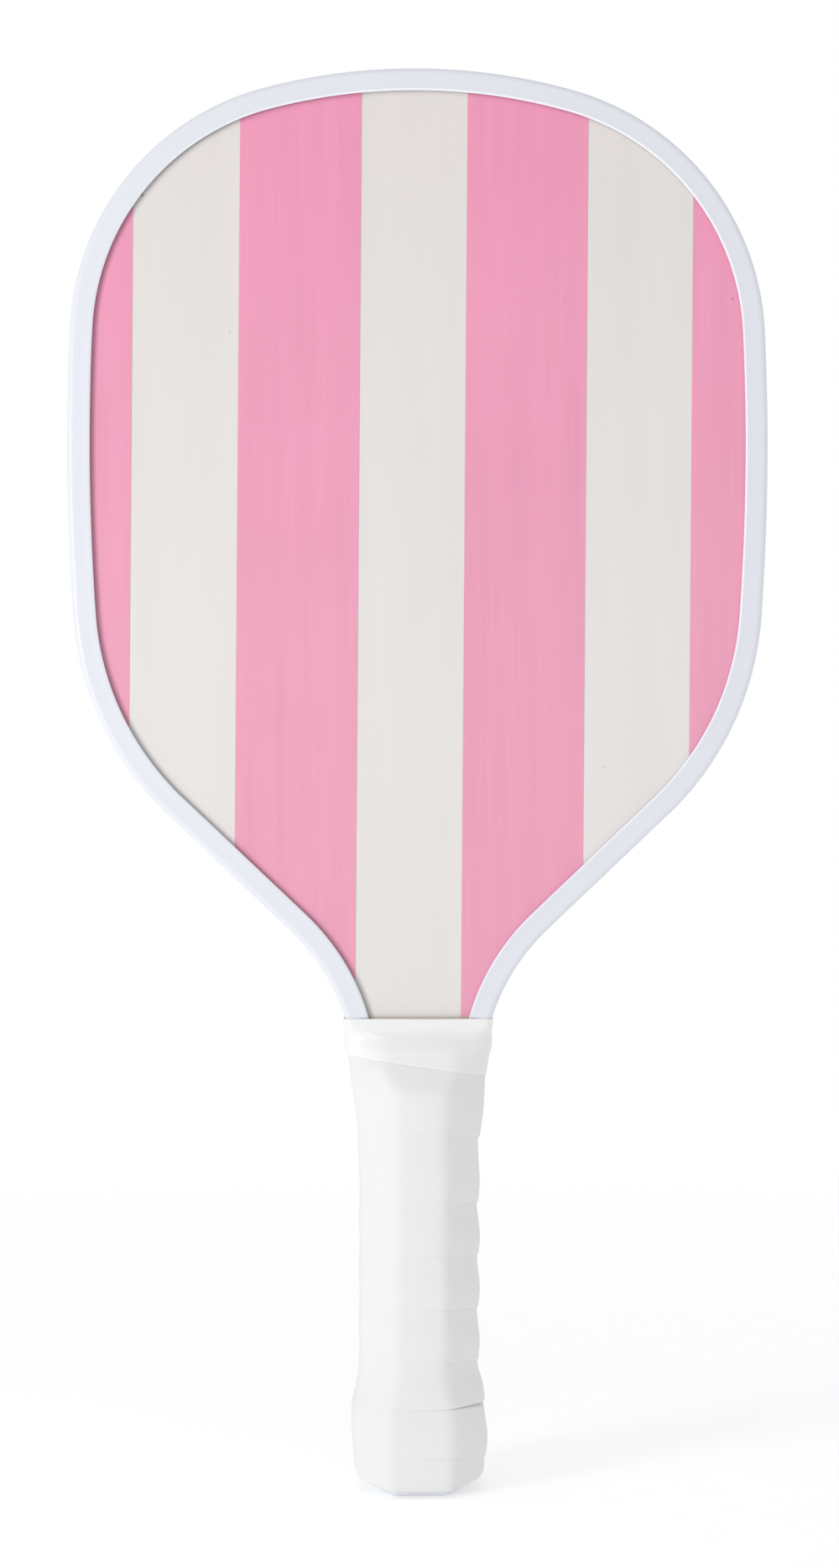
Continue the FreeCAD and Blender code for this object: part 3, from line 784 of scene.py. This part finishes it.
def tape_seat(height):
    """Offset of the strap's surface under the tape, running down onto the guard above the strap."""
    above_strap = ease(height, STRAP_TOP - 0.5, TAPE_TOP - 0.3)
    return STRAP_OUTSIDE * strap_taper(height) * (1 - above_strap)


def tape_section(along, index):
    """The tape's section at a distance along its winding, in turns."""
    laps = sum(ease(along, lap + TAPE_START - 0.03, lap + TAPE_START) for lap in (1, 2))
    place = grip_ring(TAPE_EDGE_HEIGHT, STRAP_THICKNESS)[index]
    slanted = TAPE_EDGE_HEIGHT - TAPE_EDGE_SLOPE * place.x
    low = mix(slanted, SECOND_LAP_HEIGHT, ease(along, TAPE_START + 0.75, TAPE_START + 1.0))
    low += 0.12 * wobble(0.11, place.x, place.y, 5 + laps)
    top = TAPE_TOP - 0.1 - 0.12 * laps + 0.08 * wobble(0.14, place.x, place.y, 2 + laps)
    outside, inside = [], []
    for row in range(TAPE_ROWS + 1):
        share = row / TAPE_ROWS
        height = mix(low, top, share * share * (3 - 2 * share))
        edge = min(height - low, top - height)
        rounding = 0.09 * (1 - ease(edge, 0.0, 0.3))
        crease = 0.03 * wobble(0.4, place.x * 0.6, place.y * 0.6, height * 1.4)
        base = tape_seat(height) + TAPE_GAP + TAPE_LAP * laps + crease
        outside.append(grip_ring(height, base + TAPE_LAP - rounding)[index])
        inside.append(grip_ring(height, base)[index])
    return outside + inside[::-1]


def finishing_tape(material):
    """Two laps of tape, the second level and on top of the first, ending at the back."""
    loops = []
    for lap in range(3):
        for index, share in enumerate(SHARES):
            if TAPE_START <= lap + share <= TAPE_START + TAPE_TURNS:
                loops.append(tape_section(lap + share, index))
    vertices, faces = loft(loops)
    nodes = ["finishing_tape"]
    return mesh_piece("finishing_tape_band", vertices, faces, material, nodes, 60)


# ---------------------------------------------------------------- butt cap

# Rows from the middle of the bottom, up the outside, over the rim and down into the cup:
# (height, offset from the cap's widest octagon).
CAP_ROWS = (
    (0.55, -16.6), (0.55, -8.0), (0.50, -6.6), (0.30, -6.0), (0.08, -5.6), (0.0, -5.0), (0.0, -3.0),
    (0.05, -2.62), (0.22, -2.35), (0.60, -1.92), (1.90, -0.50), (2.10, -0.22), (2.40, -0.05),
    (2.80, 0.0), (10.0, 0.0), (19.5, 0.0), (20.4, -0.05), (30.6, -1.36), (31.0, -1.55), (30.9, -1.98),
    (3.0, -1.98), (2.4, -2.3), (2.4, -16.6),
)

# Rows further in than this are even octagons; the others keep the corners of the handle's octagon.
CAP_RECESS_OFFSET = -4.0


def butt_cap(material):
    """The cup over the handle's end, with a shallow recess in its foot."""
    loops = []
    for height, offset in CAP_ROWS:
        half = CAP_HALF + offset
        narrow = half * (1 - foot_tuck(height) / CAP_HALF)
        corner = HANDLE_CORNER + offset * BLUNTING
        if offset < CAP_RECESS_OFFSET:
            corner = half * BLUNTING
        flat = half - corner
        loops.append(ring(narrow, half, flat, flat, min(0.8, half * 0.3), height, cut=0.3))
    vertices, faces = loft(loops)
    return mesh_piece("butt_cap_moulding", vertices, faces, material, ["butt_cap"], 35)


# ---------------------------------------------------------------- CAD nodes that stay as they are

def dress_cad_nodes():
    """Gives every CAD node that still stands for itself its own look."""
    cream = printed_wood("cream_print_look", CREAM, CREAM_CROWN_TINT, grain_share=0.025, roughness=0.46)
    pink = printed_wood("pink_print_look", PINK, PINK_CROWN_TINT, grain_share=0.055, roughness=0.44)
    veneer = raw_wood("face_veneer_look", FACE_VENEER, along_x=False)
    cross = raw_wood("cross_veneer_look", CROSS_VENEER, along_x=True)
    softwood = raw_wood("scale_wood_look", SOFTWOOD, along_x=False)
    steel = drawn_steel()
    looks = {
        "front_coat": cream, "back_coat": cream,
        "front_stripes": pink, "back_stripes": pink,
        "front_face_ply": veneer, "front_inner_ply": veneer,
        "back_face_ply": veneer, "back_inner_ply": veneer,
        "front_cross_ply": cross, "back_cross_ply": cross, "core_ply": cross,
        "front_scale": softwood, "back_scale": softwood, "guard_bond_tape": adhesive(),
        "grip_staple": steel, "left_cap_nail": steel, "right_cap_nail": steel,
    }
    for name, material in looks.items():
        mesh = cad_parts[name].data
        mesh.materials.clear()
        mesh.materials.append(material)


# ---------------------------------------------------------------- stage

VIEW_DISTANCE = 900.0
VIEW_HEIGHT = 199.3
VIEW_SIDE = 0.36
VIEW_SPAN = 446.2  # what the image's height covers at the paddle
VIEW_AZIMUTH = -2.0
FLOOR_HALF = 3000.0
FLOOR_DROP = 0.1


def look_at(thing, target):
    thing.rotation_euler = (target - thing.location).to_track_quat("-Z", "Y").to_euler()


def around(azimuth, elevation, distance):
    """A place seen from the origin; azimuth 0 is in front of the paddle, 90 at its right."""
    a, e = math.radians(azimuth), math.radians(elevation)
    return Vector((math.sin(a) * math.cos(e), -math.cos(a) * math.cos(e), math.sin(e))) * distance


def add_camera():
    data = bpy.data.cameras.new("camera")
    data.sensor_fit = "VERTICAL"
    data.angle_y = 2 * math.atan(VIEW_SPAN / 2 / VIEW_DISTANCE)
    data.clip_start = 10 * MM
    camera = bpy.data.objects.new("camera", data)
    target = Vector((VIEW_SIDE, 0, VIEW_HEIGHT)) * MM
    camera.location = target + around(VIEW_AZIMUTH, 0, VIEW_DISTANCE * MM)
    look_at(camera, target)
    bpy.context.scene.collection.objects.link(camera)
    bpy.context.scene.camera = camera


def add_softbox(name, azimuth, elevation, distance, size, power):
    """A round light aimed at the paddle's middle; distance and size in metres, power in watts."""
    data = bpy.data.lights.new(name, "AREA")
    data.shape = "DISK"
    data.size = size
    data.energy = power
    lamp = bpy.data.objects.new(name, data)
    target = Vector((0, 0, VIEW_HEIGHT)) * MM
    lamp.location = target + around(azimuth, elevation, distance)
    look_at(lamp, target)
    bpy.context.scene.collection.objects.link(lamp)


def add_world(surround):
    """A surround that lights evenly at the strength given, and is plain white to the camera."""
    world = bpy.data.worlds.new("studio")
    bpy.context.scene.world = world
    world.use_nodes = True
    tree = world.node_tree
    background = tree.nodes["Background"]
    background.inputs["Color"].default_value = (1.0, 1.0, 1.0, 1.0)
    path = tree.nodes.new("ShaderNodeLightPath")
    strength = tree.nodes.new("ShaderNodeMapRange")
    strength.inputs["To Min"].default_value = surround
    strength.inputs["To Max"].default_value = 1.0
    tree.links.new(path.outputs["Is Camera Ray"], strength.inputs["Value"])
    tree.links.new(strength.outputs[0], background.inputs["Strength"])


def add_floor():
    """A pale floor that turns into the white surround a little way off."""
    shader = Shader("floor_look")
    distance = shader.node("ShaderNodeVectorMath", {0: shader.place}, operation="LENGTH")
    far = shader.ramp(distance.outputs["Value"], 120 * MM, 750 * MM)
    seen = shader.node("ShaderNodeLightPath").outputs["Is Camera Ray"]
    speckle = shader.noise(shader.scaled(), 60.0, 3.0)
    white = (1.0, 1.0, 1.0)
    shader.finish(
        Base_Color=shader.blend(speckle, shade(white, 0.93), shade(white, 0.95)),
        Roughness=0.9,
        Specular_IOR_Level=0.1,
        Emission_Color=shade(white, 1.0),
        Emission_Strength=shader.ramp(seen, 0.0, 1.0, 0.17, 0.23),
    )
    glow = shader.node("ShaderNodeEmission", {"Color": shade(white, 1.0), "Strength": 1.0})
    both = shader.node("ShaderNodeMixShader", {0: far, 1: shader.surface.outputs[0], 2: glow.outputs[0]})
    output = shader.tree.nodes["Material Output"]
    shader.tree.links.new(both.outputs[0], output.inputs["Surface"])
    mesh = bpy.data.meshes.new("floor")
    edge = FLOOR_HALF * MM
    corners = [(-edge, -edge, 0), (edge, -edge, 0), (edge, edge, 0), (-edge, edge, 0)]
    mesh.from_pydata(corners, [], [(0, 1, 2, 3)])
    mesh.materials.append(shader.material)
    floor = bpy.data.objects.new("floor", mesh)
    floor.location.z = -FLOOR_DROP * MM
    bpy.context.scene.collection.objects.link(floor)


# ---------------------------------------------------------------- build

# the guard's inward-facing edges get a painted highlight; the cap's gain of 1 leaves it without one
edge_guard(moulded_plastic("guard_plastic_look", GUARD_WHITE, roughness=0.36, edge_gain=1.21))
wound_strap(strap_leather())
finishing_tape(vinyl_tape())
butt_cap(moulded_plastic("cap_plastic_look", CAP_WHITE, roughness=0.45, edge_gain=1.0))
dress_cad_nodes()

add_world(surround=0.77)
add_softbox("key", azimuth=-50, elevation=2, distance=0.95, size=0.30, power=2.6)
add_floor()
add_camera()
bpy.context.scene.view_settings.view_transform = "Standard"
